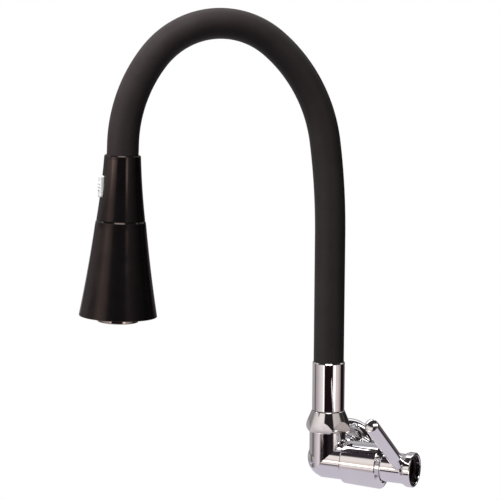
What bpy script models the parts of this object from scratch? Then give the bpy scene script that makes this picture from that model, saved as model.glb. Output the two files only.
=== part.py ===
"""Wall-mounted pre-rinse faucet: single-lever valve, flexible gooseneck spout and two-jet spray head.

Frame: +Z up, +X along the valve branch, -Y out of the wall; the origin is the centre of the inlet on the
wall plane. Lengths below are millimetres, scaled to metres by MM.
"""
from math import cos, pi, radians, sin

import bmesh
import bpy
from mathutils import Matrix, Vector

MM = 0.001
GAP = 0.3                      # clearance between touching pieces
MERGE = 0.00001                # metres, weld distance of every merging modifier

# Valve
WALL_TO_RISER = 50.0
BODY_R = 15.0
CORNER_R = 16.6                 # ball that rounds the outside of the corner
CORNER_LIFT = 1.5
INLET_R = 12.0
NIPPLE_R = 10.4
NIPPLE_END = 14.0              # behind the wall plane
FLANGE_R = 23.8
RISER_TOP = 24.7
NECK_TOP = 33.0
SPIGOT_BORE_R = 9.0

# Branch, measured along +X from the riser axis
BRANCH_END = 16.7
COLLAR_START = 17.0
COLLAR_END = 50.4
COLLAR_R = 17.4
COLLAR_END_R = 18.4
CARTRIDGE_BORE_R = 12.0
HUB_START = 45.8
HUB_END = 76.4
HUB_R = 12.0
RIM_R = 14.0
MOUTH_R = 9.4
STEM_R = 5.0
LEVER_X = 65.5
LEVER_R = 5.6
LEVER_TIP = 84.5               # distance of the lever's tip from the branch axis
LEVER_SEAT = 10.2               # depth of the flat that the lever's shoulder sits on
LEVER_SHANK_R = 4.0
LEVER_ROOT = 6.5
LEVER_LEAN = 53.5              # degrees from upright towards the user, valve half open

# Spout, heights above the branch axis
NUT_BOTTOM = 25.0
NUT_TOP = 41.3
NUT_FLAT_R = 16.4
NUT_TURN = -25.6               # degrees about Z from a corner on +X
FERRULE_BOTTOM = 41.6
FERRULE_TOP = 81.5
FERRULE_R = 13.15
SLEEVE_R = 12.3
SLEEVE_BORE_R = 9.0
CORE_R = 8.2
CORE_BORE_R = 6.8
TUBE_R = 5.1
TUBE_BORE_R = 4.0
BARB_R = 3.3                   # stub that the water tube slips over
SPOUT_TURN = -135.0            # degrees about Z: the spout hangs 45 degrees left of straight out
BEND_START = 185.0
BENDS = ((8.0, 540.0), (43.0, 122.0), (90.0, 69.0), (37.0, 112.0))  # turn in degrees, radius
LAST_RUN = 8.5                 # straight run from the last bend to the spray head
BALL_R = 12.0
CUP_R = 12.35
KNUCKLE = 2.7                  # each sleeve stops this far from a flex centre
CORE_CUT = 12.0                # the core and the water tube stop this far below a flex centre
STEP = 14.0                    # spacing of the sections along the gooseneck
FLEX_LOW = 62.0                # arc length of each flex centre above the sleeve's foot
FLEX_CROWN = 232.0
FLEX_DROP = 405.0
SLEEVE_FOOT = 58.0
CORE_FOOT = 47.3

# Spray head, distances down its own axis from the grip's top rim
HEAD_TOP_R = 14.1
SEAM = 50.5
LIP_R = 19.4
HEAD_LENGTH = 125.0
WALL = 2.2
BUTTON_T = 24.5
BUTTON_HEIGHT = 17.0
BUTTON_WIDTH = 8.0
BUTTON_FACE = 18.0             # distance of the button's face from the head's axis
NOZZLE_R = 16.0
NOZZLE_DROP = 4.6              # how far the nozzle ring stands out of the cone

BLACK = (0.02, 0.018, 0.018)
SILICONE = (0.028, 0.026, 0.027)
CHROME = (0.86, 0.86, 0.88)
BRASS = (0.78, 0.6, 0.3)
RUBBER = (0.03, 0.03, 0.03)
CERAMIC = (0.9, 0.9, 0.87)
STEEL = (0.6, 0.6, 0.62)
WHITE_PLASTIC = (0.82, 0.82, 0.8)


# ---------------------------------------------------------------- scene and materials

def clear_scene():
    for obj in list(bpy.data.objects):
        bpy.data.objects.remove(obj)
    for collection in list(bpy.data.collections):
        bpy.data.collections.remove(collection)


def new_collection(name):
    collection = bpy.data.collections.new(name)
    bpy.context.scene.collection.children.link(collection)
    return collection


clear_scene()
PARTS = new_collection("pre_rinse_faucet")
CUTTERS = new_collection("cutters")


def paint(obj, colour, roughness, metallic):
    material = bpy.data.materials.new(obj.name)
    material.use_nodes = True
    shader = material.node_tree.nodes["Principled BSDF"]
    shader.inputs["Base Color"].default_value = (*colour, 1.0)
    shader.inputs["Roughness"].default_value = roughness
    shader.inputs["Metallic"].default_value = metallic
    obj.data.materials.clear()
    obj.data.materials.append(material)


def chrome(obj):
    paint(obj, CHROME, 0.06, 1.0)


def brass(obj):
    paint(obj, BRASS, 0.25, 1.0)


def steel(obj):
    paint(obj, STEEL, 0.3, 1.0)


def rubber(obj):
    paint(obj, RUBBER, 0.7, 0.0)


def silicone(obj):
    paint(obj, SILICONE, 0.5, 0.0)


def gloss_black(obj):
    paint(obj, BLACK, 0.15, 0.0)


def ceramic(obj):
    paint(obj, CERAMIC, 0.2, 0.0)


def white_plastic(obj):
    paint(obj, WHITE_PLASTIC, 0.4, 0.0)


# ---------------------------------------------------------------- frames and shapes

def frame(name, parent, place, rotation=(0.0, 0.0, 0.0)):
    empty = bpy.data.objects.new(name, None)
    empty.empty_display_size = 10 * MM
    empty.location = Vector(place) * MM
    empty.rotation_euler = rotation
    empty.parent = parent
    PARTS.objects.link(empty)
    return empty


def place_object(name, mesh, parent, place, rotation, cutter):
    obj = bpy.data.objects.new(name, mesh)
    (CUTTERS if cutter else PARTS).objects.link(obj)
    obj.parent = parent
    obj.location = Vector(place) * MM
    obj.rotation_euler = rotation
    if cutter:
        obj.hide_render = True
        obj.display_type = "WIRE"
    return obj


def turned(name, profile, parent, place=(0, 0, 0), rotation=(0, 0, 0), steps=24, cutter=False):
    """Turn a profile of (radius, height) points, running down its outer side, about the local Z axis.

    A profile whose ends lie on the axis is solid; any other is closed into a ring.
    """
    mesh = bpy.data.meshes.new(name)
    points = [(radius * MM, 0.0, height * MM) for radius, height in profile]
    edges = [(i, i + 1) for i in range(len(points) - 1)]
    if profile[0][0] > 0:
        edges.append((len(points) - 1, 0))
    mesh.from_pydata(points, edges, [])
    obj = place_object(name, mesh, parent, place, rotation, cutter)
    screw = obj.modifiers.new("turn", "SCREW")
    screw.steps = steps
    screw.render_steps = steps
    screw.use_merge_vertices = True
    screw.merge_threshold = MERGE
    screw.use_smooth_shade = True
    return obj


def block(name, size, parent, place=(0, 0, 0), rotation=(0, 0, 0), bevel=0.0, cutter=False):
    mesh = bpy.data.meshes.new(name)
    bm = bmesh.new()
    bmesh.ops.create_cube(bm, size=1.0, matrix=Matrix.Diagonal((*(Vector(size) * MM), 1.0)))
    bm.to_mesh(mesh)
    bm.free()
    obj = place_object(name, mesh, parent, place, rotation, cutter)
    if bevel:
        edge = obj.modifiers.new("edge", "BEVEL")
        edge.width = bevel * MM
        edge.segments = 2
    return obj


def prism(name, flat_radius, low, high, parent, turn=0.0, cutter=False):
    """Hexagonal prism about the local Z axis."""
    mesh = bpy.data.meshes.new(name)
    corner = flat_radius / cos(pi / 6) * MM
    bm = bmesh.new()
    bmesh.ops.create_cone(bm, cap_ends=True, segments=6, radius1=corner, radius2=corner,
                          depth=(high - low) * MM)
    bm.to_mesh(mesh)
    bm.free()
    middle = (0, 0, (high + low) / 2)
    return place_object(name, mesh, parent, middle, (0, 0, radians(turn)), cutter)


def ball(name, radius, parent, place, cutter=False):
    mesh = bpy.data.meshes.new(name)
    bm = bmesh.new()
    bmesh.ops.create_uvsphere(bm, u_segments=20, v_segments=12, radius=radius * MM)
    bm.to_mesh(mesh)
    bm.free()
    return place_object(name, mesh, parent, place, (0, 0, 0), cutter)


def swept(name, points, radius, parent, sides=14, cutter=False):
    """A round bar along a list of points, as a welded mesh in the parent's frame."""
    curve = bpy.data.curves.new(name, "CURVE")
    curve.dimensions = "3D"
    curve.bevel_depth = radius * MM
    curve.bevel_resolution = sides // 2 - 2
    curve.use_fill_caps = True
    spline = curve.splines.new("POLY")
    spline.points.add(len(points) - 1)
    for slot, point in zip(spline.points, points):
        slot.co = (*(Vector(point) * MM), 1.0)
    draft = bpy.data.objects.new(name + "_draft", curve)
    CUTTERS.objects.link(draft)
    graph = bpy.context.evaluated_depsgraph_get()
    mesh = bpy.data.meshes.new_from_object(draft.evaluated_get(graph))
    bpy.data.objects.remove(draft)
    bpy.data.curves.remove(curve)
    bm = bmesh.new()
    bm.from_mesh(mesh)
    bmesh.ops.remove_doubles(bm, verts=bm.verts, dist=MERGE)
    bmesh.ops.recalc_face_normals(bm, faces=bm.faces)
    bm.to_mesh(mesh)
    bm.free()
    mesh.name = name
    return place_object(name, mesh, parent, (0, 0, 0), (0, 0, 0), cutter)


def combine(obj, other, operation):
    boolean = obj.modifiers.new(operation.lower() + "_" + other.name, "BOOLEAN")
    boolean.operation = operation
    boolean.solver = "EXACT"
    boolean.object = other


def cut(obj, *others):
    for other in others:
        combine(obj, other, "DIFFERENCE")


def join(obj, *others):
    for other in others:
        combine(obj, other, "UNION")


def ring_profile(outer, inner, top, bottom):
    return [(outer, top), (outer, bottom), (inner, bottom), (inner, top)]


def o_ring(name, radius, thickness, height, parent, steps=16):
    """A round-section ring whose centre line has the given radius."""
    half = thickness / 2
    profile = [(radius + half * cos(a), height + half * sin(a))
               for a in (radians(90 - 72 * k) for k in range(5))]
    return turned(name, profile, parent, steps=steps)


# ---------------------------------------------------------------- reference frames

to_x = (0.0, pi / 2, 0.0)              # local +Z becomes world +X
to_wall = (-pi / 2, 0.0, 0.0)          # local +Z becomes world +Y
wall_frame = frame("wall_frame", None, (0, 0, 0), to_wall)
riser_frame = frame("riser_frame", None, (0, -WALL_TO_RISER, 0))
branch_frame = frame("branch_frame", riser_frame, (0, 0, 0), to_x)


# ---------------------------------------------------------------- valve

def build_valve_body():
    body = ball("valve_body", CORNER_R, riser_frame, (0, 0, CORNER_LIFT))
    riser = turned("body_riser", [
        (0, NECK_TOP), (12.4, NECK_TOP), (13.2, NECK_TOP - 0.8), (13.2, RISER_TOP),
        (BODY_R - 0.5, RISER_TOP), (BODY_R, RISER_TOP - 0.5), (BODY_R, 0), (0, 0)], riser_frame, cutter=True)
    neck_end = COLLAR_START + 17
    branch = turned("body_branch", [
        (0, neck_end), (14.2, neck_end), (15.0, neck_end - 0.8), (15.0, 18), (14.6, 17.4),
        (14.6, 0), (0, 0)], branch_frame, cutter=True)
    inlet = turned("body_inlet", [
        (0, NIPPLE_END), (9.4, NIPPLE_END), (NIPPLE_R, NIPPLE_END - 1), (NIPPLE_R, -4),
        (INLET_R, -4), (INLET_R, -WALL_TO_RISER), (0, -WALL_TO_RISER)], wall_frame, cutter=True)
    join(body, riser, branch, inlet)
    riser_bore = turned("riser_bore", [
        (0, NECK_TOP + 2), (SPIGOT_BORE_R, NECK_TOP + 2), (SPIGOT_BORE_R, 10), (6.0, 8), (6.0, -4),
        (0, -4)], riser_frame, cutter=True)
    branch_bore = turned("branch_bore", [
        (0, neck_end + 2), (CARTRIDGE_BORE_R, neck_end + 2), (CARTRIDGE_BORE_R, 12), (5.0, 12), (5.0, 1),
        (0, 1)], branch_frame, cutter=True)
    inlet_bore = turned("inlet_bore", [
        (0, NIPPLE_END + 2), (6.5, NIPPLE_END + 2), (6.5, -WALL_TO_RISER), (0, -WALL_TO_RISER)],
        wall_frame, cutter=True)
    cut(body, riser_bore, branch_bore, inlet_bore)
    chrome(body)


def build_wall_flange():
    neck_r, neck_front, dome_rise = 13.2, -12.0, 6.0
    arc = [radians(15 * k) for k in range(1, 7)]
    dome = [(neck_r + (FLANGE_R - neck_r) * cos(a), -2.2 - dome_rise * sin(a)) for a in arc]
    flange = turned("wall_flange", [
        (FLANGE_R, 0), (FLANGE_R, -2.2), *dome, (neck_r, neck_front + 0.4), (neck_r - 0.4, neck_front),
        (INLET_R + GAP, neck_front), (INLET_R + GAP, 0)], wall_frame, steps=32)
    chrome(flange)


def build_inlet_washer():
    washer = turned("inlet_washer", ring_profile(9.2, 6.0, NIPPLE_END + GAP + 2, NIPPLE_END + GAP),
                    wall_frame, steps=20)
    rubber(washer)


def build_bonnet_nut():
    shoulder, pocket = 36.9, 43.6
    nut = turned("bonnet_nut", [
        (13.4, COLLAR_END), (COLLAR_END_R - 0.3, COLLAR_END - 1.8), (COLLAR_END_R, COLLAR_END - 2.5),
        (COLLAR_R, COLLAR_START + 0.8), (COLLAR_R - 0.8, COLLAR_START), (15.4, COLLAR_START),
        (15.4, shoulder), (9.9, shoulder), (9.9, pocket), (12.6, pocket), (12.6, COLLAR_END - 0.4),
        (12.9, COLLAR_END)], branch_frame, steps=32)
    chrome(nut)


def build_cartridge():
    seal = turned("cartridge_seal", ring_profile(11.4, 5.2, 13.9, 12.3), branch_frame, steps=20)
    rubber(seal)
    fixed = turned("ceramic_disc_fixed", ring_profile(9.6, 3.0, 17.2, 14.2), branch_frame, steps=20)
    ceramic(fixed)
    housing = turned("cartridge_housing", [
        (9.5, 43.0), (9.5, 36.6), (14.2, 36.6), (14.2, 34.4), (11.7, 34.4), (11.7, 14.2), (9.9, 14.2),
        (9.9, 24.0), (5.3, 24.0), (5.3, 43.0)], branch_frame, steps=20)
    white_plastic(housing)


def build_swivel_nut():
    nut = prism("swivel_nut", NUT_FLAT_R, NUT_BOTTOM, NUT_TOP, riser_frame, turn=NUT_TURN)
    cone = turned("nut_cone", [
        (0, NUT_TOP), (13.4, NUT_TOP), (19.2, 27.2), (17.6, NUT_BOTTOM), (0, NUT_BOTTOM)],
        riser_frame, cutter=True)
    combine(nut, cone, "INTERSECT")
    bore = turned("nut_bore", [
        (0, 43), (10.4, 43), (10.4, 37.4), (13.6, 37.4), (13.6, 23), (0, 23)], riser_frame, cutter=True)
    cut(nut, bore)
    chrome(nut)


def build_slip_ring():
    ring = turned("slip_ring", ring_profile(12.6, 10.4, 37.1, 36.0), riser_frame, steps=20)
    white_plastic(ring)


# ---------------------------------------------------------------- lever group, turning about the branch axis

def build_lever_group():
    lever_frame = frame("lever_frame", branch_frame, (0, 0, 0))
    disc = turned("ceramic_disc_turning", ring_profile(9.6, 2.0, 20.5, 17.5), lever_frame, steps=20)
    ceramic(disc)
    stem = turned("cartridge_stem", [
        (2.0, 58.0), (4.2, 58.0), (4.2, 46.4), (STEM_R, 46.4), (STEM_R, 33.2), (3.9, 33.2), (3.9, 30.8),
        (STEM_R, 30.8), (STEM_R, 23.6), (8.6, 23.6), (8.6, 20.8), (0, 20.8), (0, 50.0), (2.0, 50.0)],
        lever_frame, steps=20)
    brass(stem)
    rubber(o_ring("stem_oring", 4.6, 1.1, 32.0, lever_frame))
    build_hub(lever_frame)
    screw = turned("hub_screw", [
        (0, 60.2), (2.0, 60.2), (2.0, 63.0), (4.2, 63.0), (4.2, 59.3), (1.7, 59.3), (1.7, 51.0), (0, 51.0)],
        lever_frame, steps=16)
    steel(screw)
    build_lever_pin(lever_frame)


def build_hub(parent):
    mouth_bottom, flare_r = 70.4, 11.6
    hub = turned("handle_hub", [
        (flare_r + 0.5, HUB_END), (RIM_R - 0.6, HUB_END), (RIM_R, HUB_END - 0.6), (RIM_R, HUB_END - 5.2),
        (HUB_R, HUB_END - 7.6), (HUB_R, HUB_START + 0.6), (HUB_R - 0.6, HUB_START), (5.3, HUB_START),
        (5.3, 46.8), (4.5, 46.8), (4.5, 58.4), (2.1, 58.4), (2.1, 59.0), (4.6, 59.0),
        (4.6, mouth_bottom), (MOUTH_R, mouth_bottom), (MOUTH_R, mouth_bottom + 1.6),
        (flare_r, mouth_bottom + 2.4), (flare_r, HUB_END - 0.5)], parent, steps=32)
    hole = turned("lever_hole", [
        (0, 20), (LEVER_R + GAP, 20), (LEVER_R + GAP, LEVER_SEAT), (LEVER_SHANK_R + GAP, LEVER_SEAT),
        (LEVER_SHANK_R + GAP, LEVER_ROOT - GAP), (0, LEVER_ROOT - GAP)],
        parent, (0, 0, LEVER_X), steps=20, cutter=True)
    aim_radially(hole)
    cut(hub, hole)
    chrome(hub)


def aim_radially(obj):
    """Turn an object of the lever frame so that its local +Z leaves the branch axis along the lever."""
    lean = radians(LEVER_LEAN)
    world_direction = Vector((0, -sin(lean), cos(lean)))
    local_direction = Matrix.Rotation(pi / 2, 3, "Y").inverted() @ world_direction
    obj.rotation_euler = local_direction.to_track_quat("Z", "X").to_euler()


def build_lever_pin(parent):
    shoulder = LEVER_SEAT + GAP
    pin = turned("lever_pin", [
        (0, LEVER_TIP), (LEVER_R - 2.6, LEVER_TIP - 0.4), (LEVER_R - 0.6, LEVER_TIP - 1.2),
        (LEVER_R, LEVER_TIP - 2.0), (LEVER_R, shoulder + 0.4), (LEVER_R - 0.4, shoulder),
        (LEVER_SHANK_R, shoulder), (LEVER_SHANK_R, LEVER_ROOT), (0, LEVER_ROOT)],
        parent, (0, 0, LEVER_X), steps=24)
    aim_radially(pin)
    chrome(pin)


# ---------------------------------------------------------------- spout: gooseneck and its route

def gooseneck_route():
    """Points (distance out from the riser, height) about every millimetre, with the arc length of each."""
    out, height, heading = 0.0, SLEEVE_FOOT, 0.0
    route = [(0.0, out, height, heading)]
    length = 0.0
    bends = [(turn, radians(turn) * r) for turn, r in BENDS]
    stretches = [(0.0, BEND_START - SLEEVE_FOOT), *bends, (0.0, LAST_RUN)]
    for turn, span in stretches:
        count = max(2, round(span))
        for _ in range(count):
            middle = heading + turn / count / 2
            out += span / count * sin(radians(middle))
            height += span / count * cos(radians(middle))
            heading += turn / count
            length += span / count
            route.append((length, out, height, heading))
    return route


ROUTE = gooseneck_route()


def along(length):
    """Place and heading on the gooseneck's centre line; past either end it runs straight on."""
    if length <= 0:
        return Vector((0, 0, SLEEVE_FOOT + length)), 0.0
    if length >= ROUTE[-1][0]:
        over = length - ROUTE[-1][0]
        _, out, height, heading = ROUTE[-1]
        run = radians(heading)
        return Vector((out + over * sin(run), 0, height + over * cos(run))), run
    for (l0, o0, h0, a0), (l1, o1, h1, a1) in zip(ROUTE, ROUTE[1:]):
        if l0 <= length <= l1:
            t = (length - l0) / (l1 - l0)
            return Vector((o0 + t * (o1 - o0), 0, h0 + t * (h1 - h0))), radians(a0 + t * (a1 - a0))


def stretch(start, end, origin):
    """Centre-line points from one arc length to another, relative to a flex centre."""
    count = max(1, round((end - start) / STEP))
    return [along(start + (end - start) * k / count)[0] - origin for k in range(count + 1)]


spout_frame = frame("spout_frame", riser_frame, (0, 0, 0), (0, 0, radians(SPOUT_TURN)))


def build_spout_root():
    spigot = turned("spout_spigot", [
        (2.3, 60.0), (2.9, 60.0), (BARB_R, 59.0), (BARB_R, 46.0), (10.0, 46.0), (10.0, 35.7), (12.6, 35.7),
        (12.6, 33.3), (8.7, 33.3), (8.7, 27.2), (7.0, 27.2), (7.0, 24.8), (8.7, 24.8), (8.7, 20.2),
        (7.0, 20.2), (7.0, 17.8), (8.7, 17.8), (8.7, 13.0), (5.0, 12.0), (5.0, 30.0), (2.3, 33.0)],
        spout_frame, steps=20)
    brass(spigot)
    rubber(o_ring("spigot_oring_lower", 7.95, 1.5, 19.0, spout_frame))
    rubber(o_ring("spigot_oring_upper", 7.95, 1.5, 26.0, spout_frame))
    ferrule = turned("ferrule", [
        (12.65, FERRULE_TOP), (FERRULE_R - 0.2, FERRULE_TOP - 0.3), (FERRULE_R, FERRULE_TOP - 1.4),
        (FERRULE_R, FERRULE_BOTTOM + 0.4), (FERRULE_R - 0.4, FERRULE_BOTTOM), (10.3, FERRULE_BOTTOM),
        (10.3, 46.3), (12.62, 46.3)], spout_frame, steps=32)
    chrome(ferrule)


def gooseneck_length(name, parent, origin, start, end, ball_below, cup_above):
    """One stiff length of the gooseneck: silicone sleeve, metal core and water tube.

    A length that hangs on a flex centre starts with a ball; one that carries the next starts its cup there.
    """
    sleeve_start = start + KNUCKLE if ball_below else start
    sleeve_end = end - KNUCKLE if cup_above else end
    sleeve = swept("gooseneck_sleeve_" + name, stretch(sleeve_start, sleeve_end, origin), SLEEVE_R, parent)
    if ball_below:
        join(sleeve, ball("knuckle_" + name, BALL_R, parent, (0, 0, 0), cutter=True))
    if cup_above:
        far = along(end)[0] - origin
        cut(sleeve, ball("cup_" + name, CUP_R, parent, far, cutter=True))
    bore_start = start - 20 if ball_below else start - 3
    bore_end = end + 20 if cup_above else end + 3
    cut(sleeve, swept("sleeve_bore_" + name, stretch(bore_start, bore_end, origin), SLEEVE_BORE_R, parent,
                      cutter=True))
    silicone(sleeve)


def hollow_length(name, radius, bore_radius, parent, origin, start, end, sides):
    tube = swept(name, stretch(start, end, origin), radius, parent, sides)
    bore = swept(name + "_bore", stretch(start - 3, end + 3, origin), bore_radius, parent, sides,
                 cutter=True)
    cut(tube, bore)
    return tube


def build_gooseneck():
    """Four lengths, each turning on the one below at a flex centre, returned as the last one's frame."""
    total = ROUTE[-1][0]
    names = ("low", "rise", "crown", "drop")
    starts = (0.0, FLEX_LOW, FLEX_CROWN, FLEX_DROP)
    ends = (FLEX_LOW, FLEX_CROWN, FLEX_DROP, total + 3.5)
    parent, parent_place = spout_frame, Vector((0, 0, 0))
    for name, start, end in zip(names, starts, ends):
        hangs = name != "low"
        carries = name != "drop"
        place = along(start)[0] if hangs else Vector((0, 0, 0))
        if hangs:
            parent = frame("flex_frame_" + name, parent, place - parent_place)
            parent_place = place
        gooseneck_length(name, parent, place, start, end, hangs, carries)
        core_start = start + 3 if hangs else CORE_FOOT - SLEEVE_FOOT
        core_end = end - CORE_CUT if carries else end
        core = hollow_length("gooseneck_core_" + name, CORE_R, CORE_BORE_R, parent, place, core_start,
                             core_end, 10)
        steel(core)
        tube_end = core_end if carries else end + 3.5
        tube = hollow_length("water_tube_" + name, TUBE_R, TUBE_BORE_R, parent, place, core_start,
                             tube_end, 8)
        white_plastic(tube)
    return parent, parent_place


# ---------------------------------------------------------------- spray head

def grip_radius(t):
    return HEAD_TOP_R + 0.0525 * t + 0.00085 * t * t


def cone_radius(t):
    down = t - SEAM
    return LIP_R + 0.1155 * down + 0.00044 * down * down


def shell_profile(radius_at, top, bottom, count, wall):
    """Closed wall outline: down the outside, back up the inside."""
    heights = [top + (bottom - top) * k / count for k in range(count + 1)]
    outside = [(radius_at(t), -t) for t in heights]
    inside = [(radius_at(t) - wall, -t) for t in reversed(heights)]
    return outside, inside


def build_grip(head):
    outside, inside = shell_profile(grip_radius, 0.0, SEAM - GAP, 4, WALL)
    outside[0] = (HEAD_TOP_R, -0.8)
    neck = [(12.62, -4.0), (12.62, 0.0), (HEAD_TOP_R - 0.8, 0.0)]
    inside[-1] = (grip_radius(4.0) - WALL, -4.6)
    grip = turned("grip_shell", outside + inside + neck, head, steps=32)
    slot = block("button_slot", (12.0, BUTTON_WIDTH + 2 * GAP, BUTTON_HEIGHT + 2 * GAP), head,
                 (17.0, 0, -BUTTON_T), cutter=True)
    cut(grip, slot)
    gloss_black(grip)


def build_cone(head):
    outside, inside = shell_profile(cone_radius, SEAM, HEAD_LENGTH, 5, WALL)
    outside[0] = (LIP_R - 0.5, -SEAM)
    outside.insert(1, (LIP_R, -SEAM - 0.5))
    rim = cone_radius(HEAD_LENGTH)
    outside[-1] = (rim, 1.2 - HEAD_LENGTH)
    cone = turned("cone_shell", outside + [(rim - 1.0, -HEAD_LENGTH)] + inside, head, steps=32)
    gloss_black(cone)


def build_head_fitting(head):
    fitting = turned("head_fitting", [
        (2.3, 7.5), (2.9, 7.5), (BARB_R, 6.5), (BARB_R, -7.6), (10.4, -7.6), (10.4, -10.4), (7.2, -10.4),
        (7.2, -16.4), (2.3, -16.4)], head, steps=20)
    brass(fitting)
    washer = turned("fitting_washer", ring_profile(6.9, 3.2, -16.7, -17.7), head, steps=16)
    rubber(washer)


def build_waterway(head):
    waterway = turned("head_waterway", [
        (10.2, -10.8), (10.2, -34.0), (8.8, -36.0), (8.8, -47.0), (16.2, -47.0), (16.2, -49.6), (8.8, -49.6),
        (8.8, -92.0), (24.6, -108.0), (24.6, -117.2), (22.6, -117.2), (22.6, -109.0), (4.5, -93.0),
        (4.5, -18.0), (7.5, -18.0), (7.5, -10.8)], head, steps=24)
    cross_bore = turned("spool_bore", [
        (0, 14), (2.75, 14), (2.75, -14), (0, -14)], head, (0, 0, -BUTTON_T), to_x, steps=16, cutter=True)
    cut(waterway, cross_bore)
    white_plastic(waterway)


def build_diverter(head):
    """Button in the grip's outer side, with the spool that it pushes across the waterway."""
    button_frame = frame("button_frame", head, (0, 0, -BUTTON_T), to_x)
    depth = 3.6
    button = block("diverter_button", (BUTTON_HEIGHT, BUTTON_WIDTH, depth), button_frame,
                   (0, 0, BUTTON_FACE - depth / 2), bevel=1.0)
    paint(button, (0.7, 0.7, 0.72), 0.25, 0.6)
    back = BUTTON_FACE - depth - GAP
    spool = turned("diverter_spool", [
        (0, back), (2.4, back), (2.4, -1.0), (1.4, -1.6), (1.4, -4.4), (2.4, -5.0), (2.4, -9.6), (0, -9.6)],
        button_frame, steps=16)
    brass(spool)
    build_button_spring(button_frame, back)


def build_button_spring(parent, top):
    """Coil between the waterway and the button, round the spool."""
    turns, per_turn, wire, radius = 3, 10, 0.3, 3.4
    bottom = 10.2 + GAP + wire
    rise = top - wire - 0.1 - bottom
    count = turns * per_turn
    points = [(radius * cos(2 * pi * k / per_turn), radius * sin(2 * pi * k / per_turn),
               bottom + rise * k / count) for k in range(count + 1)]
    spring = swept("button_spring", points, wire, parent, sides=6)
    steel(spring)


def build_spray_face(head):
    plate_top = 119.6
    seal = turned("plate_seal", ring_profile(24.4, 22.8, -117.5, -119.3), head, steps=24)
    rubber(seal)
    plate = turned("spray_plate", [
        (26.4, -plate_top), (26.4, 0.6 - 122.8), (25.8, -122.8), (NOZZLE_R + GAP + 0.4, -122.8),
        (NOZZLE_R + GAP + 0.4, -plate_top)], head, steps=32)
    gloss_black(plate)
    nozzle_bottom = HEAD_LENGTH + NOZZLE_DROP
    ring = turned("nozzle_ring", [
        (NOZZLE_R, -113.0), (NOZZLE_R, 0.8 - nozzle_bottom), (NOZZLE_R - 0.8, -nozzle_bottom),
        (12.6, -nozzle_bottom), (11.6, 1.0 - nozzle_bottom), (11.6, -113.0)], head, steps=32)
    chrome(ring)
    aerator = turned("aerator_housing", [
        (11.3, -112.0), (11.3, -127.0), (9.6, -127.0), (9.6, -116.0), (4.0, -114.0), (4.0, -112.0)],
        head, steps=20)
    white_plastic(aerator)
    screen = turned("aerator_screen", [
        (0, -124.6), (9.3, -124.6), (9.3, -126.2), (0, -126.2)], head, steps=20)
    steel(screen)


def build_head(parent, parent_place):
    top, heading = along(ROUTE[-1][0])
    head = frame("head_frame", parent, top - parent_place, (0, heading - pi, 0))
    build_grip(head)
    build_cone(head)
    build_head_fitting(head)
    build_waterway(head)
    build_diverter(head)
    build_spray_face(head)


build_valve_body()
build_wall_flange()
build_inlet_washer()
build_bonnet_nut()
build_cartridge()
build_swivel_nut()
build_slip_ring()
build_lever_group()
build_spout_root()
last_frame, last_place = build_gooseneck()
build_head(last_frame, last_place)
bpy.context.view_layer.update()
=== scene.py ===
"""Looks of the pre-rinse faucet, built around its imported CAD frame. Lengths are millimetres, scaled by MM."""
from math import acos, cos, pi, radians, sin, tan

import bmesh
import bpy
import numpy as np
from mathutils import Matrix, Vector


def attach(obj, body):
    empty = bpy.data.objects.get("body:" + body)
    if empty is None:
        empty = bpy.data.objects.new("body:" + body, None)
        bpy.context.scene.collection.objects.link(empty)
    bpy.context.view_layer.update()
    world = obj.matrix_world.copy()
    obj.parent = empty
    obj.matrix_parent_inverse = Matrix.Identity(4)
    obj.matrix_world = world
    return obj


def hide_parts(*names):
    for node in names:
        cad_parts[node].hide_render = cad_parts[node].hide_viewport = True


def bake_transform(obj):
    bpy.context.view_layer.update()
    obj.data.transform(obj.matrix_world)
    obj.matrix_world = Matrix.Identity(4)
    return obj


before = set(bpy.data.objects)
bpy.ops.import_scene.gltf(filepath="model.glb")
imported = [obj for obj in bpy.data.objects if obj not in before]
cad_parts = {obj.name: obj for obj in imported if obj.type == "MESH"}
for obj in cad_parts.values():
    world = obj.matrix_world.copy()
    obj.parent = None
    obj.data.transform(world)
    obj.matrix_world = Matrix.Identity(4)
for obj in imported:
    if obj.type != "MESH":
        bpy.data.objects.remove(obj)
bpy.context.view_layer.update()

MM = 0.001
TINY = 1e-6

# ---------------------------------------------------------------- places and sizes, as in the CAD

# Valve: radii, heights above the branch axis, and distances along the branch from the riser axis
WALL_TO_RISER = 50.0
BODY_R = 15.0
BALL_R, BALL_LIFT = 16.6, 1.5          # the ball that rounds the outside of the corner
BALL_SQUEEZE = 0.895                   # its depth from front to back, which keeps the front mitre sharp
RISER_TOP = 24.7
NECK_R, NECK_TOP = 13.2, 33.0
INLET_R = 12.0
NIPPLE_R, NIPPLE_END = 10.4, 14.0
FLANGE_R, FLANGE_NECK_R, FLANGE_FRONT = 23.8, 13.2, -12.0
FLANGE_EDGE, DOME_RISE = -2.2, 6.0
NUT_FLAT_R, NUT_BOTTOM, NUT_TOP = 16.4, 25.0, 41.3
NUT_TURN = radians(-25.6)
COLLAR_START, COLLAR_END = 17.0, 50.4
COLLAR_R, COLLAR_END_R = 17.4, 18.4

# Lever: distances along the branch, and out from its axis along the lever
HUB_START, HUB_END, HUB_R = 45.8, 76.4, 12.0
RIM_R = 14.0
MOUTH_R, MOUTH_BOTTOM, FLARE_R = 9.4, 70.4, 11.9
MOUTH_SHADE_R, MOUTH_SHADE_MIDDLE, MOUTH_SHADE_HALF = 12.3, 71.7, 1.5        # where the hub's mouth is painted dark: painted shade in the recess
LEVER_LEAN = radians(53.5)
LEVER_X = 65.5
LEVER_R, LEVER_SHANK_R = 5.6, 4.0
LEVER_ROOT, LEVER_SEAT, LEVER_TIP = 6.5, 10.2, 84.5

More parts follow.
